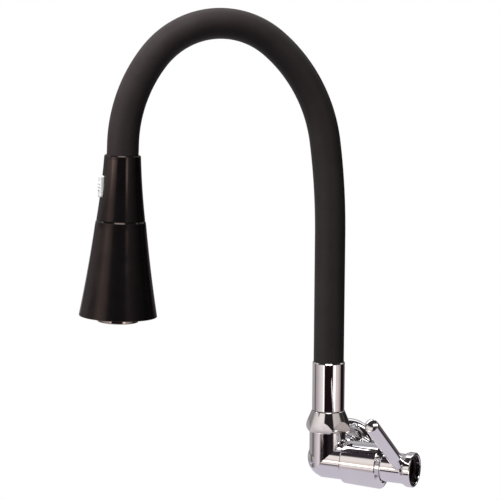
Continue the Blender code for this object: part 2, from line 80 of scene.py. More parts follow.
# Spout: heights above the branch axis, and lengths along the hose
FERRULE_R, FERRULE_BOTTOM, FERRULE_TOP = 13.15, 41.6, 81.6
SLEEVE_R, SLEEVE_BORE = 12.3, 9.8
SLEEVE_FOOT = 58.0
BEND_START = 185.0
BENDS = ((8.0, 540.0), (43.0, 122.0), (90.0, 69.0), (37.0, 112.0))      # degrees turned, radius
LAST_RUN = 8.5
FLEX_LOW, FLEX_CROWN, FLEX_DROP = 62.0, 232.0, 405.0
APEX, APEX_THIN, APEX_SPREAD = 340.0, 0.35, 140.0       # the hose is drawn thinnest over its bend

# Spray head: distances down from the top of the grip
HEAD_TOP_R = 14.1
SEAM, LIP_R = 50.5, 19.4
HEAD_LENGTH = 125.0
SHELL = 2.2
GAP = 0.3
BUTTON_T, BUTTON_FACE = 24.5, 18.0
BUTTON_WIDE, BUTTON_LONG = 8.0, 17.0
NOZZLE_BOTTOM = HEAD_LENGTH + 4.6

RISER = Matrix.Translation((0, -WALL_TO_RISER * MM, 0))
BRANCH = RISER @ Matrix.Rotation(pi / 2, 4, "Y")                       # local +Z is world +X
WALL = Matrix.Rotation(-pi / 2, 4, "X")                                # local +Z is world +Y
PIN = RISER @ Matrix.Translation((LEVER_X * MM, 0, 0)) @ Matrix.Rotation(LEVER_LEAN, 4, "X")
SPOUT = RISER @ Matrix.Rotation(radians(-135.0), 4, "Z")               # local +X is the spout's way

# ---------------------------------------------------------------- camera and stage

CAMERA_AZIMUTH = 26.5
CAMERA_ELEVATION = 7.5
CAMERA_ROLL = 0.3
CAMERA_PLACE = (0.54858, -1.29478, 0.35129)
LENS = 122.4
SENSOR = 36.0


def make_camera():
    azimuth, elevation, roll = map(radians, (CAMERA_AZIMUTH, CAMERA_ELEVATION, CAMERA_ROLL))
    forward = Vector((-sin(azimuth) * cos(elevation), cos(azimuth) * cos(elevation), -sin(elevation)))
    level_right = Vector((cos(azimuth), sin(azimuth), 0))
    level_up = level_right.cross(forward)
    right = cos(roll) * level_right + sin(roll) * level_up
    up = -sin(roll) * level_right + cos(roll) * level_up
    data = bpy.data.cameras.new("camera")
    data.lens, data.sensor_width = LENS, SENSOR
    data.clip_start, data.clip_end = 0.05, 50
    camera = bpy.data.objects.new("camera", data)
    turn = Matrix((right, up, -forward)).transposed()
    camera.matrix_world = Matrix.Translation(CAMERA_PLACE) @ turn.to_4x4()
    bpy.context.scene.collection.objects.link(camera)
    bpy.context.scene.camera = camera


class Nodes:
    """Short way to build a node tree."""

    def __init__(self, tree):
        self.tree = tree
        tree.nodes.clear()

    def add(self, kind, inputs=(), **settings):
        node = self.tree.nodes.new(kind)
        for key, value in settings.items():
            setattr(node, key, value)
        for key, value in dict(inputs).items():
            if isinstance(value, bpy.types.NodeSocket):
                self.tree.links.new(value, node.inputs[key])
            else:
                node.inputs[key].default_value = value
        return node

    def math(self, operation, a, b=0.0, c=0.5, clamp=False):
        node = self.add("ShaderNodeMath", {0: a, 1: b, 2: c}, operation=operation, use_clamp=clamp)
        return node.outputs[0]

    def vector(self, operation, a, b):
        return self.add("ShaderNodeVectorMath", {0: a, 1: b}, operation=operation).outputs["Vector"]

    def length(self, a):
        return self.add("ShaderNodeVectorMath", {0: a}, operation="LENGTH").outputs["Value"]

    def dot(self, a, direction):
        node = self.add("ShaderNodeVectorMath", {0: a, 1: direction}, operation="DOT_PRODUCT")
        return node.outputs["Value"]

    def smooth_step(self, value, low, high):
        node = self.add("ShaderNodeMapRange", {"Value": value, "From Min": low, "From Max": high},
                        interpolation_type="SMOOTHSTEP")
        return node.outputs["Result"]

    def ramp(self, value, stops):
        node = self.add("ShaderNodeValToRGB", {"Fac": value})
        ramp = node.color_ramp
        while len(ramp.elements) > 1:
            ramp.elements.remove(ramp.elements[-1])
        for k, (place, colour) in enumerate(stops):
            element = ramp.elements[0] if k == 0 else ramp.elements.new(place)
            element.position = place
            red_green_blue = (colour,) * 3 if isinstance(colour, float) else colour
            element.color = (*red_green_blue, 1.0)
        return node.outputs["Color"]

    def mix(self, factor, a, b):
        node = self.add("ShaderNodeMix", {"Factor": factor, 6: a, 7: b}, data_type="RGBA")
        return node.outputs[2]

    def noise(self, vector, scale, detail=2.0, roughness=0.5):
        node = self.add("ShaderNodeTexNoise", {"Vector": vector, "Scale": scale, "Detail": detail,
                                               "Roughness": roughness})
        return node.outputs["Fac"]

    def link(self, a, b):
        self.tree.links.new(a, b)


def round_ramp(stops):
    """Stops in degrees to the right of the camera's side, from -180 to 180."""
    return [((degrees + 180.0) / 360.0, colour) for degrees, colour in stops]


def over_ramp(stops):
    """Stops in degrees over the top: camera's side 0, zenith 90, far side 180."""
    return [(degrees / 180.0, colour) for degrees, colour in stops]


# Light of the studio round the object, in bands from below the horizon to halfway up.
LOWEST = round_ramp([
    (-180, (0.40, 0.39, 0.40)), (-137, (0.42, 0.40, 0.40)), (-117, (0.34, 0.32, 0.32)),
    (-112, (0.12, 0.11, 0.11)), (-106, (0.12, 0.11, 0.11)), (-100, (0.37, 0.35, 0.34)),
    (-74, (0.72, 0.68, 0.66)), (-60, (0.86, 0.8, 0.78)), (-54, (0.6, 0.55, 0.53)),
    (-49, (0.03, 0.02, 0.02)), (-14, (0.004, 0.002, 0.003)), (6, (0.02, 0.016, 0.018)),
    (31, (0.02, 0.015, 0.016)), (38, (0.7, 0.66, 0.63)), (52, (0.7, 0.66, 0.63)),
    (66, (0.3, 0.26, 0.25)), (80, (0.05, 0.04, 0.04)), (90, (0.006, 0.003, 0.004)),
    (122, (0.028, 0.024, 0.03)), (168, (0.09, 0.085, 0.1)), (180, (0.40, 0.39, 0.40))])
LOW = round_ramp([
    (-180, (0.40, 0.39, 0.40)), (-130, (0.45, 0.43, 0.43)), (-117, (0.34, 0.32, 0.32)),
    (-112, (0.12, 0.11, 0.11)), (-106, (0.12, 0.11, 0.11)), (-101, (0.40, 0.37, 0.37)),
    (-84, (0.5, 0.47, 0.47)), (-62, (0.76, 0.71, 0.69)), (-48, (0.9, 0.84, 0.81)),
    (-41, (1.0, 0.95, 0.92)), (-38, (1.7, 1.65, 1.6)), (-33, (1.3, 1.25, 1.2)),
    (-30, (0.012, 0.006, 0.007)), (28, (0.012, 0.006, 0.007)), (33, (0.95, 0.9, 0.87)),
    (37, (2.0, 1.9, 1.85)), (44, (2.0, 1.9, 1.85)), (49, (0.8, 0.75, 0.71)),
    (68, (0.66, 0.6, 0.57)), (80, (0.5, 0.45, 0.42)), (90, (0.3, 0.26, 0.26)),
    (97, (0.01, 0.006, 0.008)), (125, (0.01, 0.006, 0.008)), (142, (0.12, 0.1, 0.11)),
    (165, (0.14, 0.12, 0.13)), (180, (0.40, 0.39, 0.40))])
SKY = round_ramp([
    (-180, (0.3, 0.3, 0.3)), (-125, (0.3, 0.29, 0.3)), (-110, (0.4, 0.37, 0.37)),
    (-90, (0.8, 0.74, 0.72)), (-64, (1.5, 1.35, 1.3)), (-58, (3.8, 3.4, 3.3)),
    (-50, (3.8, 3.4, 3.3)), (-44, (2.0, 1.8, 1.7)), (-31, (1.4, 1.25, 1.2)),
    (-26, (0.1, 0.09, 0.09)), (-20, (0.02, 0.016, 0.02)), (24, (0.02, 0.016, 0.02)),
    (29, (2.6, 2.4, 2.3)), (35, (2.6, 2.4, 2.3)), (40, (0.5, 0.47, 0.47)),
    (54, (0.25, 0.24, 0.25)), (75, (0.1, 0.09, 0.1)), (92, (0.02, 0.02, 0.02)),
    (172, (0.02, 0.02, 0.02)), (180, (0.3, 0.3, 0.3))])
MIDDLE = round_ramp([
    (-180, (0.3, 0.3, 0.3)), (-125, (0.28, 0.27, 0.28)), (-98, (0.12, 0.11, 0.12)),
    (-76, (0.34, 0.3, 0.3)), (-58, (0.85, 0.74, 0.7)), (-42, (0.66, 0.58, 0.55)),
    (-26, (0.08, 0.07, 0.08)), (0, (0.03, 0.03, 0.04)), (24, (0.08, 0.075, 0.1)),
    (38, (0.2, 0.19, 0.22)), (54, (0.13, 0.125, 0.14)), (75, (0.04, 0.035, 0.04)),
    (95, (0.02, 0.02, 0.02)), (172, (0.02, 0.02, 0.02)), (180, (0.3, 0.3, 0.3))])
HIGH = round_ramp([
    (-180, (0.5, 0.5, 0.52)), (-120, (0.45, 0.44, 0.46)), (-96, (0.62, 0.6, 0.6)),
    (-60, (0.88, 0.84, 0.82)), (-30, (0.92, 0.88, 0.86)), (-24, (0.02, 0.016, 0.018)),
    (28, (0.02, 0.016, 0.018)), (33, (0.6, 0.56, 0.55)), (74, (0.5, 0.47, 0.46)),
    (84, (0.05, 0.04, 0.04)), (104, (0.03, 0.03, 0.03)), (112, (0.9, 0.88, 0.86)),
    (124, (0.4, 0.4, 0.4)), (180, (0.5, 0.5, 0.52))])
CEILING = over_ramp([
    (0, (0.05, 0.04, 0.045)), (50, (0.07, 0.055, 0.06)), (66, (0.035, 0.026, 0.032)),
    (98, (0.05, 0.04, 0.048)), (105, (0.08, 0.07, 0.08)), (109, (2.4, 2.4, 2.4)),
    (118, (2.2, 2.2, 2.2)), (123, (0.42, 0.41, 0.44)), (150, (0.34, 0.33, 0.36)),
    (180, (0.5, 0.48, 0.52))])
SOFT_BOX = over_ramp([(0, 0.0), (52, 0.0), (55, 1.0), (66, 1.0), (69, 0.0)])
SOFT_BOX_LIGHT = (5.0, 4.8, 4.7, 1.0)
FLOOR_LIGHT = (0.60, 0.56, 0.63, 1.0)
DIFFUSE_SHARE = 0.22               # of the studio's light that reaches matte surfaces
CREAM, LAVENDER, SKYLINE = (1.0, 0.965, 0.94), (0.9, 0.86, 0.94), (0.16, 0.14, 0.15)

# Heights, as the upward share of a direction, over which each band gives way to the next.
BANDS = ((LOWEST, -0.233, -0.237), (SKY, -0.03, -0.015), (MIDDLE, 0.05, 0.12), (HIGH, 0.2, 0.34))
CEILING_RISE = (0.56, 0.66)
FLOOR_FALL = (-0.34, -0.46)
SOFT_BOX_SIDE = (0.34, 0.24)       # the same for how far a direction may point aside
# Tint by height, from straight down (0) through the horizon (0.5) to straight up (1).
TINT = ((0.0, LAVENDER), (0.36, LAVENDER), (0.41, CREAM), (0.472, CREAM), (0.476, SKYLINE),
        (0.489, SKYLINE), (0.493, CREAM), (1.0, CREAM))


def make_world():
    """A soft studio with a dark slot on the camera's side and a dark front ceiling."""
    world = bpy.data.worlds.new("studio")
    bpy.context.scene.world = world
    world.use_nodes = True
    n = Nodes(world.node_tree)
    direction = n.add("ShaderNodeTexCoord").outputs["Generated"]
    azimuth = radians(CAMERA_AZIMUTH)
    toward = n.dot(direction, (sin(azimuth), -cos(azimuth), 0))
    right = n.dot(direction, (cos(azimuth), sin(azimuth), 0))
    height = n.dot(direction, (0, 0, 1))
    around = n.math("MULTIPLY_ADD", n.math("ARCTAN2", right, toward), 1 / (2 * pi), 0.5)
    over = n.math("MULTIPLY", n.math("ARCTAN2", height, toward), 1 / pi, clamp=True)
    walls = n.ramp(around, LOW)
    for band, low, high in BANDS:
        walls = n.mix(n.smooth_step(height, low, high), walls, n.ramp(around, band))
    tint = n.ramp(n.math("MULTIPLY_ADD", height, 0.5, 0.5), TINT)
    walls = n.add("ShaderNodeMix", {"Factor": 1.0, 6: walls, 7: tint}, data_type="RGBA",
                  blend_type="MULTIPLY").outputs[2]
    room = n.mix(n.smooth_step(height, *CEILING_RISE), walls, n.ramp(over, CEILING))
    facing = n.smooth_step(n.math("ABSOLUTE", right), *SOFT_BOX_SIDE)
    room = n.mix(n.math("MULTIPLY", n.ramp(over, SOFT_BOX), facing), room, SOFT_BOX_LIGHT)
    room = n.mix(n.smooth_step(height, *FLOOR_FALL), room, FLOOR_LIGHT)
    light_path = n.add("ShaderNodeLightPath")
    soft = n.math("MULTIPLY_ADD", light_path.outputs["Is Diffuse Ray"], DIFFUSE_SHARE - 1.0, 1.0)
    studio = n.add("ShaderNodeBackground", {"Color": room, "Strength": soft})
    page = n.add("ShaderNodeBackground", {"Color": (1, 1, 1, 1), "Strength": 1.0})
    chosen = n.add("ShaderNodeMixShader", {0: light_path.outputs["Is Camera Ray"], 1: studio.outputs[0],
                                           2: page.outputs[0]})
    output = n.add("ShaderNodeOutputWorld")
    n.link(chosen.outputs[0], output.inputs["Surface"])


def make_floor():
    """A pale round floor well below the faucet, fading out into the white page.

    It can't be seen from below, so that it never veils the faucet.
    """
    height, radius, solid = -0.42, 1.3, 0.35
    bm = bmesh.new()
    bmesh.ops.create_circle(bm, cap_ends=True, segments=96, radius=radius)
    mesh = bpy.data.meshes.new("floor")
    bm.to_mesh(mesh)
    bm.free()
    floor = bpy.data.objects.new("floor", mesh)
    floor.location = (0, -0.1, height)
    bpy.context.scene.collection.objects.link(floor)
    material = bpy.data.materials.new("floor")
    material.use_nodes = True
    n = Nodes(material.node_tree)
    place = n.add("ShaderNodeTexCoord").outputs["Object"]
    fade = n.smooth_step(n.length(place), solid, radius * 0.97)
    pale = n.add("ShaderNodeBsdfDiffuse", {"Color": (0.82, 0.82, 0.84, 1)})
    glow = n.add("ShaderNodeEmission", {"Color": (0.98, 0.98, 1.0, 1), "Strength": 0.85})
    lit = n.add("ShaderNodeAddShader", {0: pale.outputs[0], 1: glow.outputs[0]})
    clear = n.add("ShaderNodeBsdfTransparent")
    underneath = n.add("ShaderNodeNewGeometry").outputs["Backfacing"]
    shown = n.add("ShaderNodeMixShader", {0: n.math("MAXIMUM", fade, underneath), 1: lit.outputs[0],
                                          2: clear.outputs[0]})
    output = n.add("ShaderNodeOutputMaterial")
    n.link(shown.outputs[0], output.inputs["Surface"])
    mesh.materials.append(material)
    floor.visible_glossy = False
    floor.visible_diffuse = False


def make_light(name, place, aim, width, height, power):
    data = bpy.data.lights.new(name, "AREA")
    data.shape = "RECTANGLE"
    data.size, data.size_y, data.energy = width, height, power
    light = bpy.data.objects.new(name, data)
    light.location = place
    light.rotation_euler = (Vector(aim) - Vector(place)).to_track_quat("-Z", "Y").to_euler()
    light.visible_glossy = False
    bpy.context.scene.collection.objects.link(light)


# ---------------------------------------------------------------- materials

def principled(name, build):
    material = bpy.data.materials.new(name)
    material.use_nodes = True
    n = Nodes(material.node_tree)
    place = n.add("ShaderNodeTexCoord").outputs["Object"]
    shader = n.add("ShaderNodeBsdfPrincipled")
    build(n, place, shader)
    output = n.add("ShaderNodeOutputMaterial")
    n.link(shader.outputs[0], output.inputs["Surface"])
    return material


def set_inputs(n, shader, **values):
    for key, value in values.items():
        socket = shader.inputs[key.replace("_", " ")]
        if isinstance(value, bpy.types.NodeSocket):
            n.link(value, socket)
        else:
            socket.default_value = value


def bump(n, height, strength, distance):
    node = n.add("ShaderNodeBump", {"Height": height, "Strength": strength, "Distance": distance})
    return node.outputs["Normal"]


def chrome_look(n, place, shader):
    """Bright plating: faint tarnish, a few soft smears and a polished cast body's slight waviness."""
    clouds = n.noise(place, 45.0, 3.0)
    smears = n.noise(place, 160.0, 5.0, 0.6)
    colour = n.ramp(clouds, [(0.3, (0.83, 0.83, 0.85)), (0.7, (0.9, 0.89, 0.9))])
    rough = n.ramp(smears, [(0.35, 0.035), (0.75, 0.075)])
    wave = n.noise(place, 38.0, 1.0)
    set_inputs(n, shader, Base_Color=colour, Roughness=rough, Metallic=1.0,
               Normal=bump(n, wave, 0.12, 0.0008))


def hub_look(n, place, shader):
    """The same plating, with painted shade at the bottom of the hub's mouth: a dark colour and a higher
    roughness there.
    """
    chrome_look(n, place, shader)
    depth = n.math("ABSOLUTE", n.math("SUBTRACT", n.dot(place, (1, 0, 0)), MOUTH_SHADE_MIDDLE * MM))
    off_axis = n.vector("ADD", place, (0, WALL_TO_RISER * MM, 0))
    radius = n.length(n.vector("MULTIPLY", off_axis, (0, 1, 1)))
    inside = n.math("MULTIPLY", n.math("LESS_THAN", radius, MOUTH_SHADE_R * MM),
                    n.math("LESS_THAN", depth, MOUTH_SHADE_HALF * MM))
    plating = shader.inputs["Base Color"].links[0].from_socket
    finish = shader.inputs["Roughness"].links[0].from_socket
    # Painted shade: the recess at the bottom of the mouth is coloured dark, with a faint mottle.
    mouth_shade_mottle = n.noise(place, 700.0, 3.0)
    painted_mouth_shade = n.ramp(mouth_shade_mottle, [(0.3, (0.022, 0.016, 0.016)), (0.7, (0.045, 0.034, 0.034))])
    set_inputs(n, shader, Base_Color=n.mix(inside, plating, painted_mouth_shade),
               Roughness=n.math("MAXIMUM", finish, n.math("MULTIPLY", inside, 0.45)))


def silicone_look(n, place, shader):
    """Matte black silicone: fine grain, faint dusty patches."""
    grain = n.noise(place, 2600.0, 3.0, 0.6)
    dust = n.noise(place, 60.0, 4.0, 0.55)
    colour = n.ramp(dust, [(0.3, (0.032, 0.0262, 0.0262)), (0.75, (0.039, 0.033, 0.033))])
    rough = n.ramp(grain, [(0.3, 0.40), (0.7, 0.52)])
    set_inputs(n, shader, Base_Color=colour, Roughness=rough, Specular_IOR_Level=0.14,
               Normal=bump(n, grain, 0.25, 0.00012))


def gloss_black_look(n, place, shader):
    """Piano-black moulded plastic with faint orange peel and a slight haze."""
    peel = n.noise(place, 420.0, 2.0)
    haze = n.noise(place, 90.0, 4.0)
    colour = n.ramp(haze, [(0.3, (0.0036, 0.003, 0.0036)), (0.7, (0.0056, 0.0048, 0.0054))])
    rough = n.ramp(haze, [(0.35, 0.10), (0.7, 0.16)])
    set_inputs(n, shader, Base_Color=colour, Roughness=rough, Specular_IOR_Level=0.5,
               Specular_Tint=(1.0, 0.82, 0.76, 1.0), Normal=bump(n, peel, 0.05, 0.0002))


def metal_look(light, dark, low, high):
    """Bare metal with fine turning marks; two tones, and a lowest and highest roughness."""
    def build(n, place, shader):
        tone = n.noise(place, 120.0, 4.0, 0.6)
        turning = n.noise(n.vector("MULTIPLY", place, (60.0, 60.0, 2400.0)), 1.0, 2.0)
        set_inputs(n, shader, Base_Color=n.ramp(tone, [(0.3, dark), (0.7, light)]),
                   Roughness=n.ramp(turning, [(0.3, low), (0.7, high)]), Metallic=1.0,
                   Normal=bump(n, turning, 0.15, 0.0001))
    return build


def dull_look(light, dark, low, high):
    """Rubber, plastic or ceramic with a fine grain, given as metal_look's."""
    def build(n, place, shader):
        tone = n.noise(place, 150.0, 4.0)
        grain = n.noise(place, 1500.0, 2.0)
        set_inputs(n, shader, Base_Color=n.ramp(tone, [(0.3, dark), (0.7, light)]),
                   Roughness=n.ramp(grain, [(0.3, low), (0.7, high)]),
                   Normal=bump(n, grain, 0.15, 0.0001))
    return build


def screen_look(n, place, shader):
    """Woven stainless screen of the aerator: bright wires round small holes, which are painted dark as painted
    shade seen through them.
    """
    wires_per_metre = 1 / 0.00085
    wires = []
    for axis in ((1, 0, 0), (0, 1, 0)):
        along = n.math("MULTIPLY", n.dot(place, axis), wires_per_metre)
        wires.append(n.math("ABSOLUTE", n.math("SUBTRACT", n.math("FRACT", along), 0.5)))
    hole = n.math("MAXIMUM", *wires)
    # The near-black hole colour is painted shade; the wire colour is the metal's own.
    shade = n.ramp(hole, [(0.26, (0.015, 0.015, 0.016)), (0.36, (0.5, 0.5, 0.51))])
    rough = n.ramp(hole, [(0.26, 0.6), (0.36, 0.28)])
    set_inputs(n, shader, Base_Color=shade, Roughness=rough, Metallic=0.9,
               Normal=bump(n, hole, 0.4, 0.0002))


def button_look(n, place, shader):
    """White moulded plastic, a little cloudy."""
    tone = n.noise(place, 220.0, 3.0)
    shade = n.ramp(tone, [(0.3, (0.86, 0.87, 0.89)), (0.7, (0.93, 0.94, 0.95))])
    set_inputs(n, shader, Base_Color=shade,
               Roughness=n.ramp(tone, [(0.3, 0.22), (0.7, 0.32)]),
               Normal=bump(n, n.noise(place, 2200.0), 0.08, 0.0001))


LOOKS = {
    "chrome": chrome_look,
    "hub_chrome": hub_look,
    "silicone": silicone_look,
    "gloss_black": gloss_black_look,
    "button": button_look,
    "screen": screen_look,
    # Painted shade: the nozzle ring's chrome gets a darker, brownish colour so that its underside reads dark.
    "nozzle_chrome_painted_dark": metal_look((0.44, 0.38, 0.35), (0.32, 0.28, 0.26), 0.05, 0.09),
    "brass": metal_look((0.80, 0.62, 0.32), (0.66, 0.48, 0.22), 0.22, 0.38),
    "steel": metal_look((0.64, 0.64, 0.66), (0.5, 0.5, 0.52), 0.24, 0.4),
    "rubber": dull_look((0.028, 0.028, 0.028), (0.016, 0.016, 0.016), 0.6, 0.8),
    "white_plastic": dull_look((0.82, 0.82, 0.79), (0.74, 0.74, 0.71), 0.35, 0.5),
    "ceramic": dull_look((0.9, 0.9, 0.87), (0.83, 0.83, 0.8), 0.12, 0.22),
    "nub_rubber": dull_look((0.11, 0.11, 0.115), (0.08, 0.08, 0.085), 0.5, 0.65),
}
MATERIALS = {}


def look(name):
    if name not in MATERIALS:
        MATERIALS[name] = principled(name, LOOKS[name])
    return MATERIALS[name]


# ---------------------------------------------------------------- shapes

def fillet(points, radii, arc=4):
    """Round the corners of a profile that radii names, as {corner index: radius}."""
    rounded = []
    count = len(points)
    for k, point in enumerate(points):
        radius = radii.get(k, 0.0)
        before, here, after = (Vector(points[k - 1]), Vector(point), Vector(points[(k + 1) % count]))
        into, out = before - here, after - here
        if radius <= 0:
            rounded.append(tuple(here))
            continue
        into_length, out_length = into.length, out.length
        into, out = into.normalized(), out.normalized()
        corner = acos(max(-1.0, min(1.0, into.dot(out))))
        reach = min(radius / tan(corner / 2), into_length * 0.45, out_length * 0.45)
        radius = reach * tan(corner / 2)
        centre = here + (into + out).normalized() * (radius / sin(corner / 2))
        start, end = here + into * reach - centre, here + out * reach - centre
        sweep = start.angle_signed(end)
        for step in range(arc + 1):
            rounded.append(tuple(centre + Matrix.Rotation(-sweep * step / arc, 2) @ start))
    return rounded


def object_from(bm, name, matrix):
    """Turn a bmesh into an object in the matrix's place."""
    mesh = bpy.data.meshes.new(name)
    bm.to_mesh(mesh)
    bm.free()
    mesh.transform(matrix)
    obj = bpy.data.objects.new(name, mesh)
    bpy.context.scene.collection.objects.link(obj)
    return obj


def circle(sides, start=0.0):
    """(x, y) directions round a circle."""
    turns = [start + 2 * pi * k / sides for k in range(sides)]
    return [(cos(turn), sin(turn)) for turn in turns]


def skin(bm, rings):
    """Faces between each ring and the next; a ring of one vertex is a tip."""
    for upper, lower in zip(rings, rings[1:]):
        sides = max(len(upper), len(lower))
        for k in range(sides):
            j = (k + 1) % sides
            if len(upper) == 1 and len(lower) == 1:
                continue
            if len(upper) == 1:
                bm.faces.new((upper[0], lower[k], lower[j]))
            elif len(lower) == 1:
                bm.faces.new((upper[k], lower[0], upper[j]))
            else:
                bm.faces.new((upper[k], lower[k], lower[j], upper[j]))


def turned_rings(bm, profile, directions, centre=(0.0, 0.0)):
    """Rings of vertices for (radius, height) points about an upright axis through the centre."""
    rings = []
    for radius, height in profile:
        around = directions if radius >= TINY else [(0.0, 0.0)]
        rings.append([bm.verts.new((centre[0] * MM + radius * MM * x, centre[1] * MM + radius * MM * y,
                                    height * MM)) for x, y in around])
    return rings


def revolve(name, profile, matrix, steps=96, start=0.0):
    """Turn (radius, height) points about the matrix's Z axis; a profile off the axis is closed."""
    bm = bmesh.new()
    rings = turned_rings(bm, profile, circle(steps, start))
    if profile[0][0] > TINY and profile[-1][0] > TINY:
        rings.append(rings[0])
    skin(bm, rings)
    bmesh.ops.recalc_face_normals(bm, faces=bm.faces)
    return object_from(bm, name, matrix)


def true_normals(obj, surfaces, crease=32.0):
    """Give each face that lies on a surface of revolution its exact normals, for clean reflections.

    surfaces is a list of (matrix, profile); other faces keep their own flat or angle-smoothed normals.
    """
    tolerance, margin = 0.02, 0.05
    mesh = obj.data
    mesh.shade_smooth()
    mesh.set_sharp_from_angle(angle=radians(crease))
    points = np.array([v.co for v in mesh.vertices], float)
    normals = np.array([tuple(c.vector) for c in mesh.corner_normals], float)
    done = np.zeros(len(mesh.polygons), bool)
    for matrix, profile in surfaces:
        local = (np.c_[points, np.ones(len(points))] @ np.array(matrix.inverted()).T)[:, :3] / MM
        turn = np.linalg.inv(np.array(matrix.to_3x3())).T
        radius = np.hypot(local[:, 0], local[:, 1])
        radial = local[:, :2] / np.maximum(radius, 1e-9)[:, None]
        ends = list(zip(profile, profile[1:])) + [(profile[-1], profile[0])]
        for (r0, h0), (r1, h1) in ends:
            length = float(np.hypot(r1 - r0, h1 - h0))
            if length < TINY:
                continue
            across, rise = (h0 - h1) / length, (r1 - r0) / length
            offset = (radius - r0) * across + (local[:, 2] - h0) * rise
            along = ((radius - r0) * (r1 - r0) + (local[:, 2] - h0) * (h1 - h0)) / length
            on = (abs(offset) < tolerance) & (along > -margin) & (along < length + margin)
            outward = np.c_[radial * across, np.full(len(points), rise)] @ turn.T
            outward /= np.linalg.norm(outward, axis=1)[:, None]
            for face in mesh.polygons:
                if done[face.index] or not all(on[v] for v in face.vertices):
                    continue
                centre_normal = np.mean([outward[v] for v in face.vertices], axis=0)
                side = float(centre_normal @ np.array(face.normal))
                if abs(side) < 0.5:
                    continue
                sign = 1.0 if side > 0 else -1.0
                for loop, v in zip(face.loop_indices, face.vertices):
                    normals[loop] = outward[v] * sign
                done[face.index] = True
    mesh.normals_split_custom_set([tuple(normal) for normal in normals])


def apply_boolean(obj, other, operation):
    """Apply a Boolean with another object, then remove that object."""
    modifier = obj.modifiers.new("boolean", "BOOLEAN")
    modifier.operation, modifier.solver, modifier.object = operation, "EXACT", other
    graph = bpy.context.evaluated_depsgraph_get()
    mesh = bpy.data.meshes.new_from_object(obj.evaluated_get(graph))
    obj.modifiers.clear()
    obj.data = mesh
    bpy.data.objects.remove(other)


def round_smooth(obj, crease=34.0):
    """Smooth shading that lets large faces rule, with edges sharper than the crease kept."""
    obj.data.shade_smooth()
    obj.data.set_sharp_from_angle(angle=radians(crease))
    modifier = obj.modifiers.new("even_normals", "WEIGHTED_NORMAL")
    modifier.keep_sharp = True
    modifier.weight = 80


def prism(name, flat_radius, low, high, matrix, turn=0.0):
    """Hexagonal bar along the matrix's Z axis; flat_radius is half its width across flats."""
    sides = 6
    bm = bmesh.new()
    corner = flat_radius / cos(pi / sides)
    bmesh.ops.create_cone(bm, cap_ends=True, segments=sides, radius1=corner * MM, radius2=corner * MM,
                          depth=(high - low) * MM)
    bmesh.ops.rotate(bm, cent=(0, 0, 0), matrix=Matrix.Rotation(turn, 3, "Z"), verts=bm.verts)
    bmesh.ops.translate(bm, vec=(0, 0, (high + low) / 2 * MM), verts=bm.verts)
    return object_from(bm, name, matrix)


def box_object(name, size, centre, matrix, bevel=0.0, segments=4):
    bm = bmesh.new()
    bmesh.ops.create_cube(bm, size=1.0)
    bmesh.ops.scale(bm, vec=Vector(size) * MM, verts=bm.verts)
    if bevel:
        bmesh.ops.bevel(bm, geom=bm.edges[:], offset=bevel * MM, segments=segments, affect="EDGES",
                        profile=0.5)
    bmesh.ops.translate(bm, vec=Vector(centre) * MM, verts=bm.verts)
    return object_from(bm, name, matrix)


def finish_piece(obj, body, material, *nodes):
    """Give a piece its look, its body and the CAD nodes that it stands for."""
    obj.data.materials.clear()
    obj.data.materials.append(look(material))
    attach(obj, body)
    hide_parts(*nodes)


# ---------------------------------------------------------------- the gooseneck's route

def gooseneck_route():
    """(arc length, distance out, height, heading in degrees) every millimetre or so."""
    out, height, heading, length = 0.0, SLEEVE_FOOT, 0.0, 0.0
    route = [(length, out, height, heading)]
    bends = [(turn, radians(turn) * radius) for turn, radius in BENDS]
    for turn, span in [(0.0, BEND_START - SLEEVE_FOOT), *bends, (0.0, LAST_RUN)]:
        count = max(2, round(span))
        for _ in range(count):
            middle = radians(heading + turn / count / 2)
            out += span / count * sin(middle)
            height += span / count * cos(middle)
            heading += turn / count
            length += span / count
            route.append((length, out, height, heading))
    return route


ROUTE = gooseneck_route()
ROUTE_END = ROUTE[-1][0]


def along(length):
    """Point (mm, spout's frame) and heading (radians) on the centre line, straight past its ends."""
    if length <= 0:
        return Vector((0, 0, SLEEVE_FOOT + length)), 0.0
    if length >= ROUTE_END:
        _, out, height, heading = ROUTE[-1]
        run, over = radians(heading), length - ROUTE_END
        return Vector((out + over * sin(run), 0, height + over * cos(run))), run
    lengths = [stop[0] for stop in ROUTE]
    out, height, heading = (float(np.interp(length, lengths, [stop[k] for stop in ROUTE]))
                            for k in (1, 2, 3))
    return Vector((out, 0, height)), radians(heading)


HEAD_TOP, HEAD_HEADING = along(ROUTE_END)
HEAD = SPOUT @ Matrix.Translation(HEAD_TOP * MM) @ Matrix.Rotation(HEAD_HEADING - pi, 4, "Y")


# ---------------------------------------------------------------- valve

